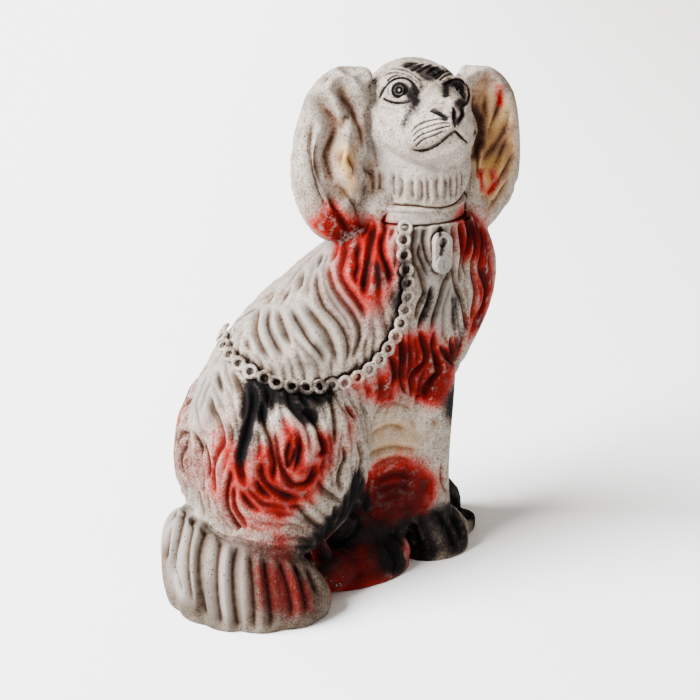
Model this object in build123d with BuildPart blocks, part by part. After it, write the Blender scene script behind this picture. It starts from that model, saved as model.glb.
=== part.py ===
# Seated spaniel figure, cast in plaster: the body faces +X and the head is turned to face -Y.
# The origin is on the ground under the middle of the figure, +Z is up, and lengths are millimetres.
from build123d import *

import os
from math import cos, radians, sin

os.makedirs("parts", exist_ok=True)

# Place of the figure: these two values put the middle of its box over the origin
figure_shift_x = 3.7
figure_shift_y = -1.95

# Body
shoulder_height = 214.5  # from the ground to the neck joint
body_half_length = 90.0
body_half_width = 40.0
body_back = 4.0  # from the figure's shift to the middle of the body
body_aside = 9.0
body_x = figure_shift_x - body_back
body_y = figure_shift_y + body_aside
plaster_wall = 9.0
base_thickness = 8.0
base_margin = 1.0

# Haunches
haunch_half_length = 53.0
haunch_half_width = 36.0
haunch_half_height = 63.0
haunch_back = 41.0  # behind the middle of the body
haunch_x = body_x - haunch_back
haunch_z = 84.0
haunch_spread = 18.0  # from the middle of the body to the middle of each haunch
haunch_tilt = 15.0  # degrees, top forwards

# Hind paws
hind_paw_half_length = 33.0
hind_paw_half_width = 17.0
hind_paw_height = 23.0
hind_paw_ahead = 2.0  # ahead of the middle of the body
hind_paw_x = body_x + hind_paw_ahead
hind_paw_spread = 25.0

# Forelegs and forepaws; the left leg is a step in front of the right one
foreleg_ahead = 52.0
foreleg_x = body_x + foreleg_ahead
foreleg_step = 21.0
foreleg_spread = 20.0
foreleg_radius = 14.0
foreleg_height = 122.0
forepaw_half_length = 21.0
forepaw_half_width = 15.0
forepaw_height = 23.0
forepaw_reach = 8.0  # from the middle of the leg to the middle of the paw

# Toes of every paw
toe_count = 4
toe_half_length = 10.0
toe_proud = 2.0
toe_fan = 38.0  # degrees between neighbouring toes, about the middle of the paw's front
toe_height_share = 0.62
toe_width_share = 1.3  # of the room that each toe has side by side

# Tail, swept round the right haunch, with flutes from its root to its rim
tail_half_length = 56.0
tail_half_width = 54.0
tail_height = 60.0
tail_back = 56.0
tail_aside = 11.0
tail_x = body_x - tail_back
tail_y = body_y - tail_aside
tail_flutes = 9
tail_start = 60.0  # degrees about the middle of the haunches, from straight ahead
tail_end = 281.0
tail_curl = 22.0  # degrees, the last flute turns in
tail_curl_share = 0.70
tail_hook_share = 0.92  # reach of the curl between the last flute and its tip
tail_slope = 23.0  # degrees, the top falls towards the front

# Neck, collar and padlock
neck_radius = 26.0
neck_height = 42.0
neck_ahead = 47.0
neck_aside = 10.0
neck_x = body_x + neck_ahead
neck_y = body_y - neck_aside
collar_height = 10.5
collar_thickness = 3.0
collar_rounding = 1.0
bead_height = 2.0
bead_proud = 0.8
padlock_width = 12.0
padlock_height = 24.0
padlock_proud = 3.0
padlock_plate = 0.8
shackle_gap = 6.0
keyhole_length = 5.0
keyhole_width = 1.4

# Head, with sizes along its own axes
head_back = 2.0  # behind the middle of the neck
head_aside = 1.0
head_x = neck_x - head_back
head_y = neck_y + head_aside
head_z = 270.0
head_turn = 4.0  # degrees past -Y, towards the viewer
head_roll = 4.0  # degrees
skull_half_width = 32.0
skull_half_depth = 33.0
skull_half_height = 33.0
muzzle_reach = 58.0
muzzle_half_width = 28.0
muzzle_half_height = 23.0
eye_radius = 8.0
eye_spread = 15.7
eye_height = 16.4
eye_reach = 14.0
nose_half_width = 7.0
nose_half_depth = 6.0
nose_half_height = 6.0
nose_height = 13.0

# Ears
ear_length = 97.0
ear_half_width = 20.0
ear_half_depth = 16.0
ear_spread = 51.5
ear_top = 28.0  # above the middle of the head

# Chain of lapped rings, laid over the body from the collar to the top of the back
ring_outside = 9.0
ring_hole = 4.0
ring_proud = 2.4
ring_chamfer = 0.7
ring_pitch = 8.0
ring_clearance = 0.35  # under each ring, which is flat where the body is round
seat_depth = 2.0  # how far a trinket's blank runs into the body before it is cut to its seat

# Torso: level, middle along X, middle across Y, half length and half width, as shares
torso_shares = (
    (0.000, -0.14, 1.00, 0.86, 0.66),
    (0.185, -0.14, 1.00, 0.88, 0.74),
    (0.370, -0.12, 1.00, 0.92, 0.86),
    (0.515, -0.04, 1.00, 0.98, 0.98),
    (0.630, 0.10, 1.00, 1.00, 1.06),
    (0.740, 0.26, 1.00, 0.94, 1.02),
    (0.850, 0.40, 0.60, 0.77, 0.94),
    (0.935, 0.48, 0.10, 0.57, 0.84),
    (1.000, 0.52, -0.20, 0.38, 0.76),
)
# Foreleg: level, shift forwards as shares of the radius, half length and half width
foreleg_shares = (
    (0.00, 0.45, 1.15, 1.05),
    (0.18, 0.15, 1.00, 1.00),
    (0.45, 0.00, 1.00, 1.00),
    (0.70, -0.10, 1.20, 1.15),
    (1.00, -0.25, 1.40, 1.30),
)
# Tail: level, reach of the rim and bulge of each flute
tail_shares = (
    (0.00, 0.960, 0.035),
    (0.30, 1.000, 0.055),
    (0.62, 0.970, 0.065),
    (0.86, 0.880, 0.060),
    (1.00, 0.740, 0.040),
)
# Chain's route: level on the torso and angle about its upright middle line, in degrees
chain_route_shares = (
    (1.000, 228.0),
    (0.910, 240.0),
    (0.840, 254.0),
    (0.780, 262.0),
    (0.710, 265.0),
    (0.655, 261.0),
    (0.615, 250.0),
    (0.602, 236.0),
    (0.610, 217.0),
    (0.637, 200.0),
    (0.670, 189.0),
    (0.700, 178.0),
    (0.715, 168.0),
)
padlock_level_share = 0.925
padlock_angle = 274.0
# Muzzle: reach, height of the middle, half width and half height
muzzle_shares = (
    (0.00, -0.04, 1.00, 1.00),
    (0.35, -0.10, 0.97, 0.96),
    (0.60, -0.14, 0.84, 0.84),
    (0.78, -0.12, 0.68, 0.67),
    (0.91, 0.02, 0.46, 0.48),
    (0.98, 0.15, 0.28, 0.30),
    (1.00, 0.20, 0.12, 0.13),
)
# Neck: level, shift towards the face, radius
neck_shares = (
    (0.00, 0.00, 1.00),
    (0.30, 0.04, 1.00),
    (0.60, 0.18, 1.03),
    (1.00, 0.34, 1.05),
)
# Ear, from its tip up: level, spread, half width and half depth
ear_shares = (
    (0.00, 0.84, 0.30, 0.40),
    (0.06, 0.87, 0.66, 0.70),
    (0.18, 0.92, 0.94, 0.92),
    (0.40, 0.98, 1.08, 1.00),
    (0.62, 0.97, 1.04, 0.95),
    (0.82, 0.91, 0.95, 0.86),
    (0.94, 0.82, 0.78, 0.70),
    (1.00, 0.76, 0.42, 0.40),
)


def ellipsoid(place, half_x, half_y, half_z):
    with BuildPart() as ball:
        Sphere(1)
        scale(by=(half_x, half_y, half_z))
    return place * ball.part


def write(part, node_name):
    part.label = node_name
    export_step(part, f"parts/{node_name}.step")
    print(node_name, len(part.solids()), round(part.volume))


def paw_form(x, y, half_length, half_width, height):
    """A rounded foot with its toes, cut flat where it stands on the base."""
    foot = ellipsoid(Location((x, y, base_thickness)), half_length, half_width, height)
    toe_room = half_width / toe_count
    toe_half_width = toe_width_share * toe_room
    toe_height = toe_height_share * height
    toes = []
    for turn in range(toe_count):
        angle = radians((turn - (toe_count - 1) / 2) * toe_fan)
        toe_x = x + (half_length - toe_half_length + toe_proud) * cos(angle)
        toe_y = y + (half_width - toe_room) * sin(angle)
        toe = Location((toe_x, toe_y, base_thickness))
        toes.append(ellipsoid(toe, toe_half_length, toe_half_width, toe_height))
    with BuildPart() as paw:
        add(foot)
        add(toes)
        split(bisect_by=Plane.XY.offset(base_thickness), keep=Keep.TOP)
    return paw.part


def torso_form(wall):
    """The torso's outer form, or with a wall the hollow inside it."""
    rise = shoulder_height - base_thickness
    with BuildPart() as form:
        for level, along, across, half_length, half_width in torso_shares:
            middle = Plane(
                origin=(
                    body_x + along * body_half_length,
                    body_y + (across - 1) * foreleg_spread / 2,
                    base_thickness + level * rise,
                )
            )
            with BuildSketch(middle):
                Ellipse(half_length * body_half_length - wall, half_width * body_half_width - wall)
        loft()
    return form.part


torso_outside = torso_form(0)
hollow = torso_form(plaster_wall)
standing = Plane.XY.offset(base_thickness)

with BuildPart() as torso:
    add(torso_outside)
    add(hollow, mode=Mode.SUBTRACT)
write(torso.part, "torso")

haunches = {}
for side_name, side in (("right", -1), ("left", 1)):
    place = Location((haunch_x, body_y + side * haunch_spread, haunch_z), (0, haunch_tilt, 0))
    thigh = ellipsoid(place, haunch_half_length, haunch_half_width, haunch_half_height)
    with BuildPart() as haunch:
        add(thigh)
        split(bisect_by=standing, keep=Keep.TOP)
        add(torso_outside, mode=Mode.SUBTRACT)
        split(bisect_by=Plane.XZ.offset(-body_y), keep=Keep.TOP if side < 0 else Keep.BOTTOM)
    haunches[side_name] = haunch.part
    write(haunch.part, f"{side_name}_haunch")

# Hind paws
hind_paws = {}
for side_name, side in (("right", -1), ("left", 1)):
    paw_y = body_y + side * hind_paw_spread
    foot = paw_form(hind_paw_x, paw_y, hind_paw_half_length, hind_paw_half_width, hind_paw_height)
    with BuildPart() as hind_paw:
        add(foot)
        add(torso_outside, mode=Mode.SUBTRACT)
        add(haunches[side_name], mode=Mode.SUBTRACT)
    hind_paws[side_name] = hind_paw.part
    write(hind_paw.part, f"{side_name}_hind_paw")

# Forelegs and forepaws
forelegs = {}
forepaws = {}
for side_name, side in (("right", -1), ("left", 1)):
    leg_x = foreleg_x + (foreleg_step if side > 0 else 0)
    leg_y = body_y + side * foreleg_spread
    with BuildPart() as leg_form:
        for level, forwards, half_length, half_width in foreleg_shares:
            section_x = leg_x + forwards * foreleg_radius
            section_z = base_thickness + level * foreleg_height
            with BuildSketch(Plane(origin=(section_x, leg_y, section_z))):
                Ellipse(half_length * foreleg_radius, half_width * foreleg_radius)
        loft()
    foot = paw_form(leg_x + forepaw_reach, leg_y, forepaw_half_length, forepaw_half_width, forepaw_height)
    with BuildPart() as forepaw:
        add(foot)
        add(torso_outside, mode=Mode.SUBTRACT)
    forepaws[side_name] = forepaw.part
    write(forepaw.part, f"{side_name}_forepaw")
    with BuildPart() as foreleg:
        add(leg_form.part)
        add(torso_outside, mode=Mode.SUBTRACT)
        add(forepaw.part, mode=Mode.SUBTRACT)
    forelegs[side_name] = foreleg.part
    write(foreleg.part, f"{side_name}_foreleg")

# Base
with BuildPart() as base_slab:
    with BuildSketch():
        level, along, across, half_length, half_width = torso_shares[0]
        foot_half_length = half_length * body_half_length + base_margin
        foot_half_width = half_width * body_half_width + base_margin
        with Locations((body_x + along * body_half_length, body_y)):
            Ellipse(foot_half_length, foot_half_width)
        for side in (-1, 1):
            with Locations((hind_paw_x, body_y + side * hind_paw_spread)):
                Ellipse(hind_paw_half_length + base_margin, hind_paw_half_width + base_margin)
            paw_x = foreleg_x + forepaw_reach + (foreleg_step if side > 0 else 0)
            with Locations((paw_x, body_y + side * foreleg_spread)):
                Ellipse(forepaw_half_length + base_margin, forepaw_half_width + base_margin)
        with Locations((foreleg_x + foreleg_step / 2, body_y)):
            Ellipse(foreleg_step / 2 + 2 * foreleg_radius, foreleg_spread)
    extrude(amount=base_thickness)
write(base_slab.part, "base_slab")

# Tail
def rim_point(angle, reach):
    return (reach * tail_half_length * cos(radians(angle)), reach * tail_half_width * sin(radians(angle)))


with BuildPart() as tail:
    for level, reach, bulge in tail_shares:
        tilt = Location((tail_x - tail_half_length, tail_y, level * tail_height), (0, level * tail_slope, 0))
        with BuildSketch(Plane(tilt)):
            with BuildLine():
                step = (tail_end - tail_start) / tail_flutes
                rim = [rim_point(tail_start + step * turn, reach) for turn in range(tail_flutes + 1)]
                rim = [(x + tail_half_length, y) for x, y in rim]
                for turn in range(tail_flutes):
                    x, y = rim_point(tail_start + step * (turn + 0.5), reach + bulge)
                    ThreePointArc(rim[turn], (x + tail_half_length, y), rim[turn + 1])
                x, y = rim_point(tail_end + tail_curl / 2, (reach + bulge) * tail_hook_share)
                tip_x, tip_y = rim_point(tail_end + tail_curl, reach * tail_curl_share)
                tip = (tip_x + tail_half_length, tip_y)
                ThreePointArc(rim[-1], (x + tail_half_length, y), tip)
                Line(tip, rim[0])
            make_face()
    loft()
    add(torso_outside, mode=Mode.SUBTRACT)
    add(haunches["right"], mode=Mode.SUBTRACT)
    add(haunches["left"], mode=Mode.SUBTRACT)
    add(hind_paws["right"], mode=Mode.SUBTRACT)
    add(hind_paws["left"], mode=Mode.SUBTRACT)
    add(base_slab.part, mode=Mode.SUBTRACT)
write(tail.part, "tail")

# Head, made about its own middle and then placed
head_place = Location((head_x, head_y, head_z), (0, head_roll, -head_turn))
with BuildPart() as muzzle:
    for reach, height, half_width, half_height in muzzle_shares:
        origin = (0, -reach * muzzle_reach, height * muzzle_half_height)
        with BuildSketch(Plane(origin=origin, x_dir=(1, 0, 0), z_dir=(0, -1, 0))):
            Ellipse(half_width * muzzle_half_width, half_height * muzzle_half_height)
    loft()
skull = ellipsoid(Location(), skull_half_width, skull_half_depth, skull_half_height)
eyes = {}
for side_name, side in (("right", -1), ("left", 1)):
    with BuildPart() as eye:
        with Locations((side * eye_spread, -eye_reach, eye_height)):
            Sphere(eye_radius)
    eyes[side_name] = eye.part
nose_place = Location((0, nose_half_depth - muzzle_reach, nose_height))
nose = ellipsoid(nose_place, nose_half_width, nose_half_depth, nose_half_height)
with BuildPart() as head_form:
    add(skull)
    add(eyes["right"], mode=Mode.SUBTRACT)
    add(eyes["left"], mode=Mode.SUBTRACT)
    add(muzzle.part)
    add(eyes["right"], mode=Mode.SUBTRACT)
    add(eyes["left"], mode=Mode.SUBTRACT)
    add(nose, mode=Mode.SUBTRACT)
head = head_place * head_form.part
write(head, "head")
write(head_place * eyes["right"], "right_eye")
write(head_place * eyes["left"], "left_eye")
write(head_place * nose, "nose")

# Neck
with BuildPart() as neck:
    for level, forwards, radius in neck_shares:
        section_y = neck_y - forwards * neck_radius
        section_z = shoulder_height + level * neck_height
        with BuildSketch(Plane(origin=(neck_x, section_y, section_z))):
            Circle(radius * neck_radius)
    loft()
    add(head, mode=Mode.SUBTRACT)
write(neck.part, "neck")

# Collar, with a bead round its top
with BuildPart() as collar:
    with BuildSketch(Plane(origin=(neck_x, neck_y, shoulder_height))):
        Circle(neck_radius + collar_thickness)
    extrude(amount=collar_height)
    fillet(collar.edges(), radius=collar_rounding)
    bead_z = shoulder_height + collar_height - collar_rounding - bead_height
    with BuildSketch(Plane(origin=(neck_x, neck_y, bead_z))):
        Circle(neck_radius + collar_thickness + bead_proud)
    extrude(amount=bead_height)
    add(neck.part, mode=Mode.SUBTRACT)
    add(torso_outside, mode=Mode.SUBTRACT)
write(collar.part, "collar")

body_skins = [torso_outside.shell(), haunches["right"].shell()]


def torso_middle(level):
    """The middle of the torso's section at a level, which is a share of its height."""
    for low, high in zip(torso_shares, torso_shares[1:]):
        if level <= high[0]:
            break
    part_way = (level - low[0]) / (high[0] - low[0])
    along = low[1] + part_way * (high[1] - low[1])
    across = low[2] + part_way * (high[2] - low[2])
    rise = shoulder_height - base_thickness
    return Vector(
        body_x + along * body_half_length,
        body_y + (across - 1) * foreleg_spread / 2,
        base_thickness + level * rise,
    )


def on_body(level, angle):
    """The outermost point of the body and its normal, looked for level and outwards from the middle."""
    middle = torso_middle(level)
    outwards = Vector(cos(radians(angle)), sin(radians(angle)), 0)
    found = []
    for skin in body_skins:
        for point, normal in skin.find_intersection_points(Axis(middle, outwards)):
            found.append(((point - middle).dot(outwards), point, normal))
    reach, point, normal = max(found, key=lambda hit: hit[0])
    return point, normal if normal.dot(outwards) > 0 else -normal


# Chain
route = [on_body(level, angle)[0] for level, angle in chain_route_shares]
with BuildLine():
    chain_line = Spline(*route)
chain_length = chain_line.length
ring_count = int(chain_length / ring_pitch)
rise = shoulder_height - base_thickness
rings = []
for turn in range(ring_count + 1):
    share = turn * ring_pitch / chain_length
    here = chain_line @ share
    level = min(1, (here.Z - base_thickness) / rise)
    middle = torso_middle(level)
    angle = Vector(1, 0, 0).get_signed_angle(here - middle, Vector(0, 0, 1))
    point, normal = on_body(level, angle)
    seat = Plane(origin=point + normal * ring_clearance, x_dir=chain_line % share, z_dir=normal)
    with BuildPart() as ring:
        with BuildSketch(seat):
            Circle(ring_outside / 2)
            Circle(ring_hole / 2, mode=Mode.SUBTRACT)
        extrude(amount=ring_proud)
        top = ring.faces().sort_by(Axis(seat.origin, seat.z_dir))[-1]
        chamfer(top.edges(), length=ring_chamfer)
    rings.append(ring.part)
with BuildPart() as chain:
    add(rings)
    add(torso_outside, mode=Mode.SUBTRACT)
    add(haunches["right"], mode=Mode.SUBTRACT)
    add(collar.part, mode=Mode.SUBTRACT)
write(chain.part, "chain")
print("rings", len(rings), "chain length", chain_length)

# Padlock: a shackle over a plate with a keyhole
point, normal = on_body(padlock_level_share, padlock_angle)
upright = Vector(0, 0, 1)
across = upright.cross(normal)
lock_plane = Plane(origin=point, x_dir=across, z_dir=normal)
with BuildPart() as padlock:
    with BuildSketch(lock_plane.offset(-seat_depth)):
        SlotOverall(padlock_height, padlock_width, rotation=90)
        with Locations((0, padlock_height / 2 - padlock_width / 2)):
            Circle(shackle_gap / 2, mode=Mode.SUBTRACT)
    extrude(amount=seat_depth + padlock_proud)
    with BuildSketch(lock_plane.offset(padlock_proud)):
        with Locations((0, padlock_width / 2 - padlock_height / 2)):
            Circle(padlock_width / 2 - padlock_plate)
        with Locations((0, padlock_width / 2 - padlock_height / 2)):
            SlotOverall(keyhole_length, keyhole_width, rotation=90, mode=Mode.SUBTRACT)
    extrude(amount=padlock_plate)
    add(torso_outside, mode=Mode.SUBTRACT)
    add(collar.part, mode=Mode.SUBTRACT)
write(padlock.part, "padlock")

# Ears
for side_name, side in (("right", -1), ("left", 1)):
    with BuildPart() as ear_form:
        for level, spread, half_width, half_depth in ear_shares:
            middle = Plane(origin=(side * spread * ear_spread, 0, ear_top - (1 - level) * ear_length))
            with BuildSketch(middle):
                Ellipse(half_width * ear_half_width, half_depth * ear_half_depth)
        loft()
    with BuildPart() as ear:
        add(head_place * ear_form.part)
        add(head, mode=Mode.SUBTRACT)
        add(neck.part, mode=Mode.SUBTRACT)
        add(torso_outside, mode=Mode.SUBTRACT)
        add(collar.part, mode=Mode.SUBTRACT)
    write(ear.part, f"{side_name}_ear")
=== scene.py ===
# %% [markdown]
# A seated spaniel for the mantelpiece, cast in plaster and painted by hand. The real one is a hollow
# casting, so its whole surface came out of one mould: coat, chain and collar are one skin. The solids of
# the frame give every form its size and place. This script gives that skin its carving and its paint.

# %% Load the frame
import itertools
import math

import bpy
import numpy as np
from mathutils import Matrix, Vector
from mathutils.bvhtree import BVHTree


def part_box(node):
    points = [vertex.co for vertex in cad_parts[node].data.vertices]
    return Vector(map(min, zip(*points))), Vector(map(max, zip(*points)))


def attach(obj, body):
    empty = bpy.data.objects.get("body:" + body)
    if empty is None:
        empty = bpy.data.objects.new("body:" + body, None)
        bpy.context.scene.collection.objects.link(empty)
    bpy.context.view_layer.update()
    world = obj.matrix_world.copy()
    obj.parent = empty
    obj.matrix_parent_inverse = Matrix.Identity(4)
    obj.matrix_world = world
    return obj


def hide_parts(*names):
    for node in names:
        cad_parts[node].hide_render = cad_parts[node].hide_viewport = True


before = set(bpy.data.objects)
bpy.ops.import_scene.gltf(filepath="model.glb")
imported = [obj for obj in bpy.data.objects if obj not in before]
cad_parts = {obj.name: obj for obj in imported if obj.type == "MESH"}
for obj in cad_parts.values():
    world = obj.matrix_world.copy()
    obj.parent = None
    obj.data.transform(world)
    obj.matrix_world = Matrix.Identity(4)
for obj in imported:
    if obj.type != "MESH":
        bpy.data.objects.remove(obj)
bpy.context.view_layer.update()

MM = 0.001
print("nodes in the frame:", len(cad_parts))

# %% [markdown]
# The camera comes first, because the carving is laid out from its picture. It stands in front of the
# dog's right shoulder, a little above the head. A long lens keeps the figure's sides nearly parallel, as
# in a product photograph. The picture is square and 700 pixels wide, and every pixel below counts in it.

# %% Camera
PICTURE = 700
FOCAL_PIXELS = 1583.0
CAMERA_DISTANCE = 880 * MM
CAMERA_TURN = math.radians(-30)
CAMERA_RISE = math.radians(20)
CAMERA_AIM = Vector((-12.3, -31.95, 150.0)) * MM
SENSOR = 36.0

backwards = Vector(
    (
        math.sin(CAMERA_TURN) * math.cos(CAMERA_RISE),
        -math.cos(CAMERA_TURN) * math.cos(CAMERA_RISE),
        math.sin(CAMERA_RISE),
    )
)
camera_place = CAMERA_AIM + backwards * CAMERA_DISTANCE
camera_data = bpy.data.cameras.new("camera")
camera_data.sensor_width = SENSOR
camera_data.lens = FOCAL_PIXELS / PICTURE * SENSOR
camera = bpy.data.objects.new("camera", camera_data)
camera.location = camera_place
camera.rotation_euler = (-backwards).to_track_quat("-Z", "Y").to_euler()
bpy.context.collection.objects.link(camera)
bpy.context.scene.camera = camera

rightwards = (-backwards).cross(Vector((0, 0, 1))).normalized()
upwards = rightwards.cross(-backwards).normalized()


def sight_line(x, y):
    """The direction in which the camera sees a pixel."""
    across = (x - PICTURE / 2) / FOCAL_PIXELS
    down = (y - PICTURE / 2) / FOCAL_PIXELS
    return (-backwards + rightwards * across - upwards * down).normalized()


print("camera stands at", [round(v, 3) for v in camera_place])

# %% [markdown]
# One skin is made from copies of the frame's solids. A voxel remesh turns the overlapping copies into a
# single closed surface of even squares, as clay would close over a core. A smooth modifier then rounds
# the creases between the forms. The cavity inside the casting comes out as loose islands, which go.

# %% Skin
SKIN_NODES = (
    "base_slab head left_ear left_foreleg left_forepaw left_haunch left_hind_paw neck nose"
    " right_ear right_foreleg right_forepaw right_haunch right_hind_paw tail torso"
).split()
SKIN_VOXEL = 0.9 * MM
SKIN_SOFTENING = 12


def select_only(*pieces):
    bpy.ops.object.select_all(action="DESELECT")
    for item in pieces:
        item.select_set(True)
    bpy.context.view_layer.objects.active = pieces[0]


def copy_of(node_name):
    """A copy of a frame node with its loose triangles merged."""
    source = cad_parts[node_name]
    piece = bpy.data.objects.new(node_name + "_copy", source.data.copy())
    piece.data.materials.clear()
    bpy.context.collection.objects.link(piece)
    select_only(piece)
    bpy.ops.object.mode_set(mode="EDIT")
    bpy.ops.mesh.select_all(action="SELECT")
    bpy.ops.mesh.remove_doubles(threshold=0.002 * MM)
    bpy.ops.object.mode_set(mode="OBJECT")
    return piece


def apply_modifier(piece, kind, **settings):
    select_only(piece)
    modifier = piece.modifiers.new(kind.lower(), kind)
    for name, value in settings.items():
        setattr(modifier, name, value)
    bpy.ops.object.modifier_apply(modifier=modifier.name)


def joined_copies(names, piece_name):
    """One object made of copies of the named nodes."""
    copies = [copy_of(name) for name in names]
    select_only(*copies)
    if len(copies) > 1:
        bpy.ops.object.join()
    piece = bpy.context.view_layer.objects.active
    piece.name = piece_name
    return piece


def close_over(piece, voxel, softening):
    """Closes one soft skin over the loose forms of a piece."""
    apply_modifier(piece, "REMESH", mode="VOXEL", voxel_size=voxel, adaptivity=0.0)
    apply_modifier(piece, "SMOOTH", factor=0.5, iterations=softening)


def points_of(piece):
    values = np.zeros(len(piece.data.vertices) * 3)
    piece.data.vertices.foreach_get("co", values)
    return values.reshape(-1, 3)


def normals_of(piece):
    values = np.zeros(len(piece.data.vertices) * 3)
    piece.data.vertices.foreach_get("normal", values)
    return values.reshape(-1, 3)


skin = joined_copies(SKIN_NODES, "skin")
print("solids joined:", len(SKIN_NODES))

# %% [markdown]
# The modeller of the mould filled the creases between the limbs and built up the small forms: the throat,
# the fur between ear and neck, the lids, the lips, the elbow, and the wall between haunch and foreleg.
# Each is a ball or a ring of clay, pressed into the solids before the skin closes over them.

# %% Clay
CLAY_SEGMENTS = 32
RIGHT_EYE = sum(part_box("right_eye"), Vector()) / 2
LEFT_EYE = sum(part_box("left_eye"), Vector()) / 2
EYE_RADIUS = (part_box("right_eye")[1].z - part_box("right_eye")[0].z) / 2
HEAD_TURN = math.radians(-4)
HEAD_MIDDLE = Vector((44.7, -1.95, 270)) * MM
BODY_MIDDLE_Y = 7.05 * MM


def clay_ball(place, sizes, turn=(0, 0, 0)):
    """A ball of clay, with its middle, half sizes and turn in millimetres and degrees."""
    bpy.ops.object.select_all(action="DESELECT")
    bpy.ops.mesh.primitive_uv_sphere_add(
        segments=CLAY_SEGMENTS,
        ring_count=CLAY_SEGMENTS // 2,
        radius=1,
        location=Vector(place) * MM,
        rotation=[math.radians(v) for v in turn],
        scale=Vector(sizes) * MM,
    )
    return bpy.context.active_object


def clay_ring(place, radius, thickness, facing):
    """A ring of clay round an eye."""
    bpy.ops.object.select_all(action="DESELECT")
    bpy.ops.mesh.primitive_torus_add(
        major_segments=CLAY_SEGMENTS,
        minor_segments=CLAY_SEGMENTS // 2,
        major_radius=radius,
        minor_radius=thickness,
        location=place,
        rotation=facing.to_track_quat("Z", "Y").to_euler(),
    )
    return bpy.context.active_object


def gaze(eye, x, y):
    """The direction from an eye's middle to the point of its ball that the camera sees at a pixel."""
    ray = sight_line(x, y)
    middle = (eye - camera_place).dot(ray)
    miss = (camera_place + ray * middle - eye).length
    half = math.sqrt(max(EYE_RADIUS**2 - miss**2, 0))
    return (camera_place + ray * (middle - half) - eye).normalized()


RIGHT_GAZE = gaze(RIGHT_EYE, 399, 90)
LEFT_GAZE = gaze(LEFT_EYE, 459, 91)
lid_reach = EYE_RADIUS * 0.62
clay = [
    clay_ball((47, -20, 244), (23, 21, 25)),
    clay_ball((20, 1, 240), (9, 14, 30)),
    clay_ball((18, -5, 222), (9, 11, 13)),
    clay_ball((69.9, -1.5, 240), (9, 14, 30)),
    clay_ball((22, -12, 62), (32, 17, 52)),
    clay_ball((20, 26, 62), (32, 17, 52)),
    clay_ball((6, -14, 30), (26, 15, 16)),
    clay_ball((6, 28, 30), (26, 15, 16)),
    clay_ball((-26, -26, 14), (20, 16, 13)),
    clay_ball((-60, -30, 44), (34, 14, 14)),
    clay_ball((70, 29, 124), (18, 18, 22)),
    clay_ring(RIGHT_EYE + RIGHT_GAZE * lid_reach, EYE_RADIUS * 0.86, 1.5 * MM, RIGHT_GAZE),
    clay_ring(LEFT_EYE + LEFT_GAZE * lid_reach, EYE_RADIUS * 0.86, 1.5 * MM, LEFT_GAZE),
]
for gaze_line in (RIGHT_GAZE, LEFT_GAZE):
    print("an eye looks along", [round(v, 2) for v in gaze_line])

select_only(skin, *clay)
bpy.ops.object.join()
close_over(skin, SKIN_VOXEL, SKIN_SOFTENING)
select_only(skin)
bpy.ops.mesh.separate(type="LOOSE")
islands = sorted(bpy.context.selected_objects, key=lambda item: len(item.data.vertices))
skin = islands.pop()
for island in islands:
    bpy.data.meshes.remove(island.data)
skin.name = "skin"
print("skin:", len(skin.data.vertices), "points,", len(islands), "inner islands removed")

# %% [markdown]
# The face needs finer lines than the coat, so the squares over the head are divided once more.

# %% Finer squares on the face
HEAD_LOW = (0 * MM, -62 * MM, 238 * MM)
HEAD_HIGH = (84 * MM, -8 * MM, 303 * MM)

select_only(skin)
bpy.ops.object.mode_set(mode="EDIT")
bpy.ops.mesh.select_all(action="DESELECT")
bpy.ops.object.mode_set(mode="OBJECT")
count = len(skin.data.polygons)
centres = np.zeros(count * 3)
skin.data.polygons.foreach_get("center", centres)
centres = centres.reshape(-1, 3)
on_face = np.all((centres > HEAD_LOW) & (centres < HEAD_HIGH), axis=1)
skin.data.polygons.foreach_set("select", on_face)
bpy.ops.object.mode_set(mode="EDIT")
bpy.ops.mesh.subdivide(number_cuts=1, smoothness=0.0)
bpy.ops.object.mode_set(mode="OBJECT")
print("squares on the face:", int(on_face.sum()))

# %% [markdown]
# A carver lays a lock of hair as one long stroke of the gouge. Each stroke here is a row of pixels, read
# along a dark line of the coat, and a ray from the camera puts every pixel on the skin. The unseen
# side gets the same strokes, mirrored across the dog's middle, as the two halves of such a mould match.

# %% Strokes laid on the skin
STROKE_STEP = 0.8 * MM
SEE_THROUGH = 5 * MM
MIRROR_REACH = 14 * MM
BODY_PLANE = (Vector((0, BODY_MIDDLE_Y, 0)), Vector((0, 1, 0)))
HEAD_PLANE = (HEAD_MIDDLE, Vector((math.cos(HEAD_TURN), math.sin(HEAD_TURN), 0)))


def tree_of(piece):
    bpy.context.view_layer.update()
    return BVHTree.FromObject(piece, bpy.context.evaluated_depsgraph_get())


def rows(text):
    """Strokes from text: a line is a stroke, and each pair on it is a pixel."""
    return [
        np.array([[float(v) for v in pair.split(",")] for pair in line.split()])
        for line in text.strip().splitlines()
    ]


def groups(table):
    """The groups of a table, each with the colours and sizes of its title, its rows and its mid-plane."""
    for group in table.strip().split("\n\n"):
        title, text = group.split("\n", 1)
        place, settings = title.split(": ")
        plane = BODY_PLANE if "both sides" in place else HEAD_PLANE if "both halves" in place else None
        mixes = [mix.split() for mix in settings.split(" + ")]
        yield [[v if v.isalpha() else float(v) for v in mix] for mix in mixes], text, plane


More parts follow.
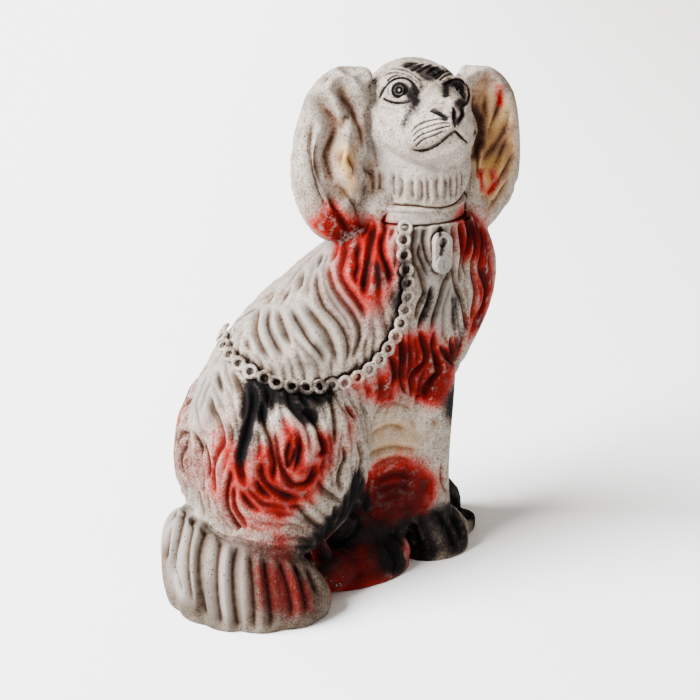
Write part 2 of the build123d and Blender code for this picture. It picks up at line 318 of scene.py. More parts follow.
def smooth_path(marks, step):
    """Even points along a smooth curve through the given ones."""
    marks = np.asarray(marks, float)
    if len(marks) > 2:
        padded = np.vstack([2 * marks[0] - marks[1], marks, 2 * marks[-1] - marks[-2]])
        curve = []
        for a, b, c, d in zip(padded, padded[1:], padded[2:], padded[3:]):
            for t in np.linspace(0, 1, 8, endpoint=False):
                cubic = (3 * b - a - 3 * c + d) * t**3
                square = (2 * a - 5 * b + 4 * c - d) * t**2
                curve.append(0.5 * (2 * b + (c - a) * t + square + cubic))
        marks = np.array(curve + [marks[-1]])
    lengths = np.r_[0, np.cumsum(np.linalg.norm(np.diff(marks[:, :3], axis=0), axis=1))]
    even = np.linspace(0, lengths[-1], max(2, int(lengths[-1] / step) + 1))
    return np.column_stack([np.interp(even, lengths, marks[:, i]) for i in range(marks.shape[1])])


def seen(x, y):
    """The nearest point, with its normal, that the camera sees at a pixel."""
    found = [tree.ray_cast(camera_place, sight_line(x, y)) for tree in trees]
    found = [hit for hit in found if hit[0] is not None]
    return min(found, key=lambda hit: hit[3])[:2] if found else (None, None)


def laid(pixels):
    """The runs of skin that the camera sees under a row of pixels, each point with its normal."""
    runs, run = [], []
    for x, y in smooth_path(pixels, 1.0):
        hit, normal = seen(x, y)
        if hit is None or (run and (hit - run[-1][0]).length > SEE_THROUGH):
            runs.append(run)
            run = []
        if hit is not None:
            run.append((hit, normal))
    runs.append(run)
    return [np.array([(*p, *n) for p, n in run]) for run in runs if len(run) > 1]


def mirrored(run, plane):
    """The same run on the other side of a mid-plane, put back on the skin."""
    other = []
    for values in run:
        point = Vector(values[:3])
        point -= 2 * (point - plane[0]).dot(plane[1]) * plane[1]
        hit, normal, _, gap = skin_tree.find_nearest(point)
        if hit is not None and gap < MIRROR_REACH:
            other.append((*hit, *normal))
    return np.array(other)


def strokes(text, plane=None):
    """Strokes on the skin, and their mirror images where a plane is given."""
    found = []
    for pixels in rows(text):
        for run in laid(pixels):
            found.append(smooth_path(run, STROKE_STEP))
            other = mirrored(run, plane) if plane else ()
            if len(other) > 1:
                found.append(smooth_path(other, STROKE_STEP))
    return found


CELL = 8 * MM


def cells_of(places):
    """The numbers of the places in each cell of a grid, so that near ones are found at once."""
    keys = np.floor(places / CELL).astype(int)
    order = np.lexsort(keys.T)
    changes = np.nonzero(np.any(np.diff(keys[order], axis=0), axis=1))[0] + 1
    return {tuple(keys[group[0]]): group for group in np.split(order, changes)}


def near_line(cells, line, reach):
    """The numbers of the places in the cells round a line."""
    low = np.floor((line.min(0) - reach) / CELL).astype(int)
    high = np.floor((line.max(0) + reach) / CELL).astype(int) + 1
    boxes = itertools.product(*(range(a, b) for a, b in zip(low, high)))
    found = [cells[key] for key in boxes if key in cells]
    return np.concatenate(found) if found else np.zeros(0, int)


def nearest_on(places, line):
    """For each place, its gap to the nearest point of a line, and that point's number."""
    squares = (places**2).sum(1)[:, None] + (line**2).sum(1)[None, :] - 2 * places @ line.T
    nearest = squares.argmin(axis=1)
    return np.sqrt(np.clip(squares[np.arange(len(places)), nearest], 0, None)), nearest


skin_tree = tree_of(skin)
trees = [skin_tree]
points = points_of(skin)
normals = normals_of(skin)
cells = cells_of(points)
print("mid-planes at", BODY_PLANE[0][:], HEAD_PLANE[0][:])

# %% [markdown]
# Before the locks are cut, the broad forms are pushed in and pulled out, as a thumb does in clay: the
# hollows of the ears, the lips and the bridge of the nose, and the swellings of the haunch. A title line
# gives the place, then the reach and the push in millimetres, and the rows of pixels follow it.

# %% Thumb work
def thumb(text, reach, push, plane=None):
    """Moves the skin along its own normal by push, most on the line, and fading out over the reach."""
    for run in strokes(text, plane):
        line, facing = run[:, :3], run[:, 3:]
        near = near_line(cells, line, reach)
        if not len(near):
            continue
        gaps, nearest = nearest_on(points[near], line)
        share = np.clip(gaps / reach, 0, 1)
        same_side = np.einsum("ij,ij->i", normals[near], facing[nearest]) > 0
        strength = np.where(same_side, (1 - share**2) ** 2, 0)
        points[near] += facing[nearest] * (push * strength)[:, None]


THUMB_WORK = """
hollow of the near ear: 9 -5.5
322,104 332,118 337,128 331,145 328,165 332,182 340,196
344,90 350,100 356,110

hollow of the far ear: 8 -4.5
480,84 487,82 493,86
487,98 486,112
500,100 502,125 495,148 490,170 488,195

swellings of the near ear: 6 2.0
357,112 362,130 364,150
346,150 350,165 354,180
362,168 368,182 368,196

rim of the far ear: 6 1.0
512,95 516,120 518,150 516,180 508,200

upper lip: 7 2.2
414,142 424,136 436,131 447,126

bridge of the nose: 7 1.8
436,92 445,98 454,104

far cheek: 15 -4.5
479,112 480,124 480,136 477,148 472,158

under the lip: 6 -1.8
418,154 430,152 444,147 455,140

brow, both halves: 6 1.2
378,80 390,73 404,73 414,79

upper lid: 2.6 1.3
378,92 386,82 398,75 411,77 419,86

lower lid: 2.6 0.9
383,104 392,107 403,107 412,104

dips above both ears: 8 -4.0
351,68 358,69 363,72
457,68 463,67

tip of the nose: 6 2.0
448,103 455,106

inner corner of the eye: 6 -1.8
421,92 424,100 418,108

elbow, both sides: 12 5.0
298,352 308,350

knee, both sides: 16 2.5
300,440 312,455
"""
for [(reach, push)], text, plane in groups(THUMB_WORK):
    thumb(text, reach * MM, push * MM, plane)
skin.data.vertices.foreach_set("co", points.ravel())
skin.data.update()
skin_tree = tree_of(skin)
trees = [skin_tree]
points = points_of(skin)
normals = normals_of(skin)
cells = cells_of(points)
print("skin swollen and hollowed")

# %% [markdown]
# The locks of the chest hang straight down from the collar in slow waves, and part over the forelegs.

# %% Chest locks
CHEST_LOCKS = """
375,220 372,235 370,250 368,265 366,280 366,295
387,220 383,230 381,245 384,258 389,270 391,285
393,225 391,240
413,222 414,235 413,250 415,262 413,275 411,285 413,295
420,240 420,255 424,265 428,278
426,225 424,240 428,258 433,270
415,262 421,275 424,285 425,295 420,305 416,320
432,285 430,300 424,315 418,330
453,262 450,275 445,285 441,300 436,315 432,330
453,225 454,240 452,258 455,275 458,290 463,300 466,315 468,330
460,222 463,240 464,255 462,270 461,285
466,215 470,230 470,245 467,258 466,268 468,278
470,220 476,235 477,250 474,262 474,275 477,290 475,305 472,320
481,225 484,240 483,255 481,268 484,278 487,290 484,305 478,318
400,330 402,345 403,360 402,375 404,388 409,397
388,355 393,362 396,375 393,388
420,330 424,345 427,355 424,365 416,372 412,380 413,392 411,400
436,330 434,345 437,360 438,372 430,382 425,390 424,400
440,345 447,355 453,362 458,368
452,335 453,350 458,362 462,350 464,338
"""
chest_locks = strokes(CHEST_LOCKS, BODY_PLANE)
print("chest:", len(chest_locks), "runs")

# %% [markdown]
# The coat of the shoulder sweeps down and back from the ear to the haunch, round a smooth elbow.

# %% Shoulder and back locks
BACK_LOCKS = """
345,242 344,255 341,268 343,278 350,290 358,300 364,310 367,320
358,240 356,255 357,265 355,275 357,285
328,262 330,275 336,290 345,302 353,312 359,322 362,335 358,350 352,360
315,270 316,285 320,298 325,308 335,318 343,328 348,340 349,352 346,362
306,303 312,312 320,322 328,332 333,343 337,355 339,365
290,308 295,318 303,330 311,340 320,350 325,362
278,308 281,320 286,332 291,345
269,305 266,318 268,330 273,340 278,350 281,360
258,305 255,325 258,338 264,350 272,360
243,335 246,345 252,352
303,268 300,282 296,292
322,250 318,258 315,268
337,243 334,254 330,262
290,284 284,294 280,304
275,288 270,296 267,304
"""
back_locks = strokes(BACK_LOCKS, BODY_PLANE)
print("back:", len(back_locks), "runs")

# %% [markdown]
# The haunch has the deepest carving: long S curves that part in the middle and hook back round the
# folded knee, and short curls over the knee.

# %% Haunch locks
HAUNCH_LOCKS = """
232,370 238,382 242,395 243,410 243,420
215,370 218,385 222,395
252,385 254,400 251,415 248,428 246,438 242,450 241,462 243,475 246,485
265,385 268,395 266,408
275,390 273,400 275,412
263,400 262,415 266,430 270,440 273,455 275,465 273,480
210,395 212,408 217,420 221,432 222,445 217,452 212,465 212,480 214,495
191,432 196,442 200,452 200,465 201,480 200,495 201,508 204,518
200,440 205,455 206,470 204,482
228,420 230,432 232,445
230,470 228,480 225,495 226,510 231,520 238,530 248,537
234,485 233,500 236,512 243,522 248,530
240,492 245,502 252,510 260,514
262,462 263,475 268,485 277,492 288,497 300,500
255,480 262,492 272,500
275,430 277,445 280,460 287,475 295,485 305,485 312,478 315,465
290,440 287,455 289,468 294,460 298,448
300,430 302,445 300,460 296,472
302,412 310,415 318,425 322,438 325,450 318,455
330,395 335,405 337,420 338,435 337,445
345,400 352,412 358,420
345,445 348,458 343,470 341,482 345,490
358,440 363,455 362,468 358,478
320,480 325,490 335,497 342,502
290,508 300,510 308,520 320,530
"""
HAUNCH_EDGE = """
204,525 225,538 250,545 270,550 300,548 330,547 345,540 357,528 364,510 368,490 370,470 368,450
"""
haunch_locks = strokes(HAUNCH_LOCKS, BODY_PLANE)
haunch_edge = strokes(HAUNCH_EDGE, BODY_PLANE)
print("haunch:", len(haunch_locks), "runs")

# %% [markdown]
# Short upright strokes fringe the neck under the jaw, above the collar.

# %% Neck fringe
NECK_FRINGE = """
373,172 374,182 373,192
380,172 381,182 380,194
393,174 392,186 394,198
400,178 401,188 400,200
412,180 411,190 413,201
421,180 422,192 421,203
428,180 428,192 429,204
438,178 437,190 439,203
446,178 447,188 446,202
452,176 452,188 453,201
458,174 459,184 458,198
463,172 464,182 463,194
"""
neck_fringe = strokes(NECK_FRINGE)
print("neck fringe:", len(neck_fringe), "runs")

# %% [markdown]
# Each ear is a bundle of curls that turn in at the tip, with a deep channel down the middle.

# %% Ear curls
EAR_CURLS = """
340,85 345,98 352,108 358,120 363,135 366,150
321,103 328,113 336,122 338,125
350,112 343,120 340,130
335,125 330,140 325,155 328,170 333,185
345,148 340,158 342,170
352,150 350,160 355,168 352,178
362,165 370,175 372,188
335,185 345,195 355,205 360,218
328,190 335,205 343,220 350,232
322,85 328,75 336,71
312,120 309,135 308,150 311,165 316,180 320,195 326,208
318,140 316,155 318,170 322,184
"""
FAR_EAR_CURLS = """
475,90 474,110 475,130 475,150 478,180
485,95 483,110 486,120
512,110 505,130 495,145 488,155 483,165
508,135 500,150 492,165
500,95 497,110 492,125 488,140
515,150 508,165 500,178 492,190
510,180 502,192 494,203 488,212
"""
ear_curls = strokes(EAR_CURLS)
far_ear_curls = strokes(FAR_EAR_CURLS)
print("ears:", len(ear_curls) + len(far_ear_curls), "runs")

# %% [markdown]
# The face is drawn with a narrow tool: lids, brows, whiskers, the line down the nose and the mouth.

# %% Face lines
EYE_LINES = """
380,97 384,89 390,82 400,78 409,80 415,86 418,92
384,99 391,102 399,103 409,102
444,85 450,81 459,80 466,85 469,94 467,103 462,106
"""
BROW_LINES = """
369,87 375,79 383,73 393,69 403,70 412,74 421,81
374,84 381,77 390,73 400,73 409,76 417,82
436,79 443,73 451,70 459,73
440,80 447,75 455,73 461,76
"""
NOSE_LINES = """
453,108 454,112 454,118 455,127
432,111 438,113 444,117
461,108 463,114 460,120
"""
MOUTH_LINES = """
414,150 420,151 427,150 436,146 444,140 450,135 455,132 459,136 464,140 467,143
"""
WHISKER_LINES = """
412,131 418,125 428,121 438,119 447,120
413,136 419,130 430,126 440,123 449,123
414,141 421,135 432,131 441,128 450,126
416,146 423,140 433,136 442,132
"""
TUFT_LINES = """
405,67 411,64 417,63
412,71 418,67 424,64
419,72 425,68 431,65
427,74 432,70 438,67
434,76 439,73 444,71
"""
tuft_lines = strokes(TUFT_LINES)
eye_lines = strokes(EYE_LINES)
brow_lines = strokes(BROW_LINES)
nose_lines = strokes(NOSE_LINES)
mouth_lines = strokes(MOUTH_LINES)
whisker_lines = strokes(WHISKER_LINES, HEAD_PLANE)
print("face:", len(eye_lines) + len(brow_lines) + len(whisker_lines), "runs")

# %% [markdown]
# The chest wall between the haunch and the foreleg is modelled in shallow ripples, and the paws have
# grooves between their toes.

# %% Wall ripples and toes
WALL_RIPPLES = """
376,412 385,406 395,404 405,407 415,411
372,435 385,428 395,426 408,430
370,455 380,450 393,447 405,448 418,450
372,468 385,461 398,458 412,461
374,483 388,477 400,475 412,480
376,493 390,487 402,486 413,492
380,503 392,497 405,497
430,418 437,425 442,425
"""
TOE_LINES = """
437,512 445,525 452,538 455,550
450,515 458,528 462,540
410,523 417,538 422,556
380,540 388,546 394,555 396,565 393,572
390,530 398,537 404,545 403,555
443,460 443,480 450,495 460,510
452,470 458,485 462,500
455,470 463,480 468,495 465,505
"""
wall_ripples = strokes(WALL_RIPPLES, BODY_PLANE)
toe_lines = strokes(TOE_LINES, BODY_PLANE)
print("ripples and toes:", len(wall_ripples) + len(toe_lines), "runs")

# %% [markdown]
# The tail lies round the rump in broad flutes, each with finer lines on its back.

# %% Tail flutes
TAIL_LINES = """
178,500 172,515 167,535 164,560
187,508 180,525 176,545 175,570 180,592
196,515 190,530 186,550 186,575 190,602
207,528 201,545 198,565 199,590 204,617
222,538 217,555 215,575 216,600 220,626
238,546 235,562 234,580 235,605 238,630
252,553 251,570 252,590 253,612 253,630
266,557 268,575 270,595 272,615 272,628
282,560 286,578 290,598 292,618
296,561 302,578 306,596 308,612
308,566 314,580 318,594
"""
tail_lines = strokes(TAIL_LINES)
print("tail:", len(tail_lines), "runs")

# %% [markdown]
# A stroke cuts a sharp crease and leaves a rounded lock on each side of it. The cut is deepest on the line
# and runs out at the ends. It is made by moving the skin's points inwards, because hundreds of crossing
# tool marks would never survive as booleans.

# %% The gouge
depth_of_cut = np.zeros(len(points))
FAR_GAP = 20 * MM
gap_to_line = np.full(len(points), FAR_GAP)
END_TAPER = 7 * MM
LAP_SIDES = 4
PART_OF_RUN = 14


def gouge(runs, depth, reach, lap=0.0, taper=END_TAPER):
    """Cuts each run to a depth that fades over a reach; a lap lifts one side over the other."""
    for number, run in enumerate(runs):
        tangent = np.gradient(run[:, :3], axis=0)
        tangent /= np.linalg.norm(tangent, axis=1)[:, None] + 1e-12
        for start in range(0, len(run), PART_OF_RUN):
            part = slice(max(start - 1, 0), start + PART_OF_RUN + 1)
            line, facing, along = run[part, :3], run[part, 3:], tangent[part]
            near = near_line(cells, line, reach)
            if not len(near):
                continue
            gap, nearest = nearest_on(points[near], line)
            same_side = np.einsum("ij,ij->i", normals[near], facing[nearest]) > -0.1
            place_on_run = nearest + part.start
            from_end = np.minimum(place_on_run, len(run) - 1 - place_on_run) * STROKE_STEP
            fade = np.sqrt(np.clip((from_end + 0.5 * MM) / taper, 0, 1))
            share = np.clip(gap / reach, 0, 1)
            crease = 1 - np.sqrt(1 - (1 - share) ** 2)
            valley = (1 - share) ** 2 * (1 + 2 * share)
            cut = depth * fade * (crease + valley) / 2
            sideways = np.cross(facing[nearest], along[nearest])
            side = np.sign(np.einsum("ij,ij->i", points[near] - line[nearest], sideways))
            turn = -1 if number % LAP_SIDES == 0 else 1
            cut += turn * side * lap * fade * (1 - share) * np.minimum(share * 5, 1)
            cut = np.where(same_side & (gap < reach), cut, 0)
            deeper = np.abs(cut) > np.abs(depth_of_cut[near])
            depth_of_cut[near] = np.where(deeper, cut, depth_of_cut[near])
            gap_to_line[near] = np.minimum(gap_to_line[near], np.where(same_side, gap, FAR_GAP))


gouge(chest_locks, 4.0 * MM, 5.0 * MM, lap=0.7 * MM)
gouge(back_locks, 3.5 * MM, 5.2 * MM, lap=0.7 * MM)
gouge(haunch_locks, 4.2 * MM, 5.2 * MM, lap=0.8 * MM)
gouge(haunch_edge, 2.0 * MM, 3.4 * MM)
gouge(neck_fringe, 2.8 * MM, 3.2 * MM, taper=3 * MM)
gouge(ear_curls, 2.8 * MM, 4.8 * MM, lap=0.6 * MM)
gouge(far_ear_curls, 2.4 * MM, 3.8 * MM, lap=0.6 * MM)
gouge(eye_lines, 1.9 * MM, 1.9 * MM)
gouge(brow_lines, 1.5 * MM, 1.5 * MM, taper=4 * MM)
gouge(tuft_lines, 1.4 * MM, 1.8 * MM, taper=3 * MM)
gouge(nose_lines, 2.0 * MM, 1.9 * MM, taper=3 * MM)
gouge(mouth_lines, 2.6 * MM, 2.6 * MM, taper=4 * MM)
gouge(whisker_lines, 1.7 * MM, 1.3 * MM, taper=3 * MM)
gouge(wall_ripples, 2.2 * MM, 5.5 * MM)
gouge(toe_lines, 2.8 * MM, 4.2 * MM)
gouge(tail_lines, 3.8 * MM, 5.6 * MM, taper=5 * MM)
print("deepest stroke:", round(depth_of_cut.max() / MM, 2), "mm")

# %% [markdown]
# The strokes read from the picture leave bare skin between them and on the sides that it doesn't show. A
# carver fills such places by following the neighbouring locks. Here a lock starts where no line is near,
# runs along the direction of its neighbours, and stops where it would meet one.

# %% Filling locks
COAT_LOW, COAT_HIGH = 12 * MM, 300 * MM
FILL_STEP = 1.2 * MM
FILL_TRIES = 30000
node_corners = []
node_triangles = []
node_of_triangle = []
for number, name in enumerate(SKIN_NODES):
    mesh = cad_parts[name].data
    corners = np.zeros(len(mesh.vertices) * 3)
    mesh.vertices.foreach_get("co", corners)
    triangles = np.zeros(len(mesh.loops), np.int64)
    mesh.loops.foreach_get("vertex_index", triangles)
    start = sum(len(group) for group in node_corners)
    node_corners.append(corners.reshape(-1, 3))
    node_triangles.append(triangles.reshape(-1, 3) + start)
    node_of_triangle.append(np.full(len(triangles) // 3, number))
node_of_triangle = np.concatenate(node_of_triangle)
node_tree = BVHTree.FromPolygons(
    np.vstack(node_corners).tolist(), np.vstack(node_triangles).tolist(), all_triangles=True
)


def nearest_number(place):
    """The number, in SKIN_NODES, of the solid nearest to a place."""
    return node_of_triangle[node_tree.find_nearest(Vector(place))[2]]


def coat_fill(tries, seed, start_gap, stop_gap, longest, allowed):
    """New runs laid between the old ones; allowed says on which places of the skin they may run."""
    random = np.random.default_rng(seed)
    known = {}

    def note(run):
        way = np.gradient(run[:, :3], axis=0)[::2]
        way /= np.linalg.norm(way, axis=1)[:, None] + 1e-12
        way[way[:, 2] > 0] *= -1
        for place, along in zip(run[::2, :3], way):
            known.setdefault(tuple(np.floor(place / CELL).astype(int)), []).append((*place, *along))

    def around(place):
        low = np.floor(np.array(place) / CELL).astype(int) - 1
        boxes = itertools.product(*(range(v, v + 3) for v in low))
        found = [row for key in boxes if key in known for row in known[key]]
        if not found:
            return None, CELL
        found = np.array(found)
        gaps = np.linalg.norm(found[:, :3] - np.array(place), axis=1)
        weight = 1 / (gaps + 1 * MM) ** 2
        return Vector((found[:, 3:] * weight[:, None]).sum(0) / weight.sum()), gaps.min()

    runs = chest_locks + back_locks + haunch_locks + ear_curls + far_ear_curls + neck_fringe
    for run in runs + haunch_edge + tail_lines + toe_lines:
        note(run)
    made = []
    for start in random.choice(len(points), tries, replace=False):
        if gap_to_line[start] < start_gap:
            continue
        place, normal = Vector(points[start]), Vector(normals[start])
        if not allowed(place, normal) or around(place)[1] < start_gap:
            continue
        swing = random.uniform(-0.35, 0.35)
        halves = []
        for sign in (-1, 1):
            here, facing, trail, last = place.copy(), normal.copy(), [], Vector((0, 0, -1))
            for step in range(int(longest / FILL_STEP / 2)):
                way, gap = around(here)
                way = last if way is None else way
                way = way - way.dot(facing) * facing
                if way.length < 1e-6 or (step and gap < stop_gap) or not allowed(here, facing):
                    break
                way.normalize()
                way.rotate(Matrix.Rotation(swing * math.sin(step * 0.3), 3, facing))
                last = way.copy()
                here, facing, _, _ = skin_tree.find_nearest(here + way * sign * FILL_STEP)
                trail.append((*here, *facing))
            halves.append(trail)
        run = halves[0][::-1] + [(*place, *normal)] + halves[1]
        if len(run) < 5:
            continue
        run = smooth_path(run, STROKE_STEP)
        made.append(run)
        note(run)
    return made


FACE_FRONT_Y = -12 * MM
BARE_NODES = {"nose", "base_slab", "right_forepaw", "left_forepaw", "right_hind_paw", "left_hind_paw"}
BARE_NODES |= {"right_foreleg", "left_foreleg", "tail"}


def on_coat(place, normal):
    """The places that grow hair: not the face, the feet, the legs or the wall between the legs."""
    if not COAT_LOW < place.z < COAT_HIGH or abs(normal.z) > 0.97:
        return False
    name = SKIN_NODES[nearest_number(place)]
    if name in BARE_NODES or (name in ("head", "neck") and place.y < FACE_FRONT_Y):
        return False
    if name in ("right_ear", "left_ear") and normal.y < 0.25:
        return False
    wall = name == "torso" and place.x > 5 * MM and place.z < 100 * MM
    return not wall


fill_locks = coat_fill(FILL_TRIES, 7, 5.0 * MM, 2.6 * MM, 70 * MM, on_coat)
gouge(fill_locks, 2.0 * MM, 4.8 * MM, lap=0.5 * MM)
print("filling locks:", len(fill_locks))

# %% [markdown]
# All the cuts are applied at once, along the normals of the uncut skin, and one light smoothing takes off
# the saw teeth that the squares leave across a slanting cut.

# %% Cutting
carved = points - normals * depth_of_cut[:, None]
skin.data.vertices.foreach_set("co", carved.ravel())
skin.data.update()
apply_modifier(skin, "SMOOTH", factor=0.35, iterations=2)
print("deepest cut:", round(depth_of_cut.max() / MM, 2), "mm")

# %% [markdown]
# Chain, collar and padlock came out of the same mould, so their edges are soft too. Each is a copy of its
# solid, closed over at a fine scale and smoothed, with slight lumps.

# %% Chain, collar and padlock
def cast_copy(node_name, voxel, softening, lumps):
    """A copy of a frame node with edges as soft as a mould leaves them."""
    piece = joined_copies([node_name], node_name + "_cast")
    close_over(piece, voxel, softening)
    pattern = bpy.data.textures.new(node_name + "_lumps", "CLOUDS")
    pattern.noise_scale = 4 * MM
    apply_modifier(piece, "DISPLACE", texture=pattern, strength=lumps, mid_level=0.75)
    return piece


FINE_VOXEL = 0.45 * MM
chain = cast_copy("chain", FINE_VOXEL, 5, 0.8 * MM)
collar = cast_copy("collar", FINE_VOXEL, 3, 0.4 * MM)
padlock = cast_copy("padlock", FINE_VOXEL * 0.8, 2, 0.2 * MM)
print("trinkets:", [len(item.data.vertices) for item in (chain, collar, padlock)])

# %% [markdown]
# The eyes are balls with a drawn iris: a groove round the iris, a ring round the pupil and a small dome in
# its middle. All of them are measured from the spot that the eye looks through.

# %% Eyes
IRIS, PUPIL, GLINT = 3.7 * MM, 1.7 * MM, 0.5 * MM


def eyeball(name, middle, look):
    bpy.ops.object.select_all(action="DESELECT")
    bpy.ops.mesh.primitive_uv_sphere_add(segments=160, ring_count=80, radius=EYE_RADIUS, location=middle)
    ball = bpy.context.active_object
    ball.name = name
    bpy.ops.object.transform_apply(location=True, rotation=True, scale=True)
    places = points_of(ball)
    spread = np.linalg.norm(places - np.array(middle + look * EYE_RADIUS), axis=1)
    cut = 0.45 * MM * np.exp(-(((spread - IRIS) / (0.5 * MM)) ** 2))
    cut += 0.4 * MM * np.exp(-(((spread - PUPIL) / (0.4 * MM)) ** 2))
    places -= normals_of(ball) * cut[:, None]
    ball.data.vertices.foreach_set("co", places.ravel())
    ball.data.update()
    return ball, spread


right_eye, right_spread = eyeball("right_eye_ball", RIGHT_EYE, RIGHT_GAZE)
left_eye, left_spread = eyeball("left_eye_ball", LEFT_EYE, LEFT_GAZE)


def iris_paint(spread, shade):
    """Black on the rim of the iris and round the pupil, over an iris of the given shade; a bare spot in
    the middle is a painted glint.
    """
    rim = np.exp(-(((spread - IRIS) / (1.2 * MM)) ** 2))
    ring = np.exp(-(((spread - PUPIL * 0.85) / (0.9 * MM)) ** 2))
    inside = shade * (spread < IRIS)
    return np.clip(np.maximum(np.maximum(rim, ring), inside) * (spread > GLINT), 0, 1)


trees = [tree_of(item) for item in (skin, chain, collar, padlock, right_eye, left_eye)]
skin_tree = trees[0]
print("eyes:", len(right_eye.data.vertices), "points each")

# %% [markdown]
# The paint was sprayed and brushed on by hand: soft clouds of red and black with no hard edge, and ochre
# and brown in the ears. Some clouds are painted shade instead of paint, as listed above the table. Every
# cloud is a row of pixels with a reach, laid on the skin in the same way as a stroke. The far side gets
# the same clouds, because such figures were painted alike on both sides. A title line gives the place, the
# colour, the reach in millimetres and the strength, and the rows follow it.

# %% Clouds of paint
clouds = []


def spray(colour, text, reach, strength=1.0, plane=None):
    """Notes a soft cloud of one colour along rows of pixels, with its reach in millimetres."""
    for pixels in rows(text):
        if len(pixels) == 1:
            pixels = np.vstack([pixels, pixels + 1.0])
        for run in laid(pixels):
            line = smooth_path(run, min(2.0, reach * 0.35) * MM)
            clouds.append((colour, line[:, :3], reach * MM, strength))
            other = mirrored(line, plane) if plane else ()
            if len(other):
                clouds.append((colour, other[:, :3], reach * MM, strength))


def dab(colour, node_name, reach, strength, low=0.0, high=1.0):
    """A cloud along the length of a solid, from a low to a high share of its height."""
    least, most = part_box(node_name)
    middle = (least.y + most.y) / 2
    for level in (low, high):
        height = least.z + (most.z - least.z) * level
        line = smooth_path([(least.x, middle, height), (most.x, middle, height)], 3 * MM)
        clouds.append((colour, line, reach * MM, strength))


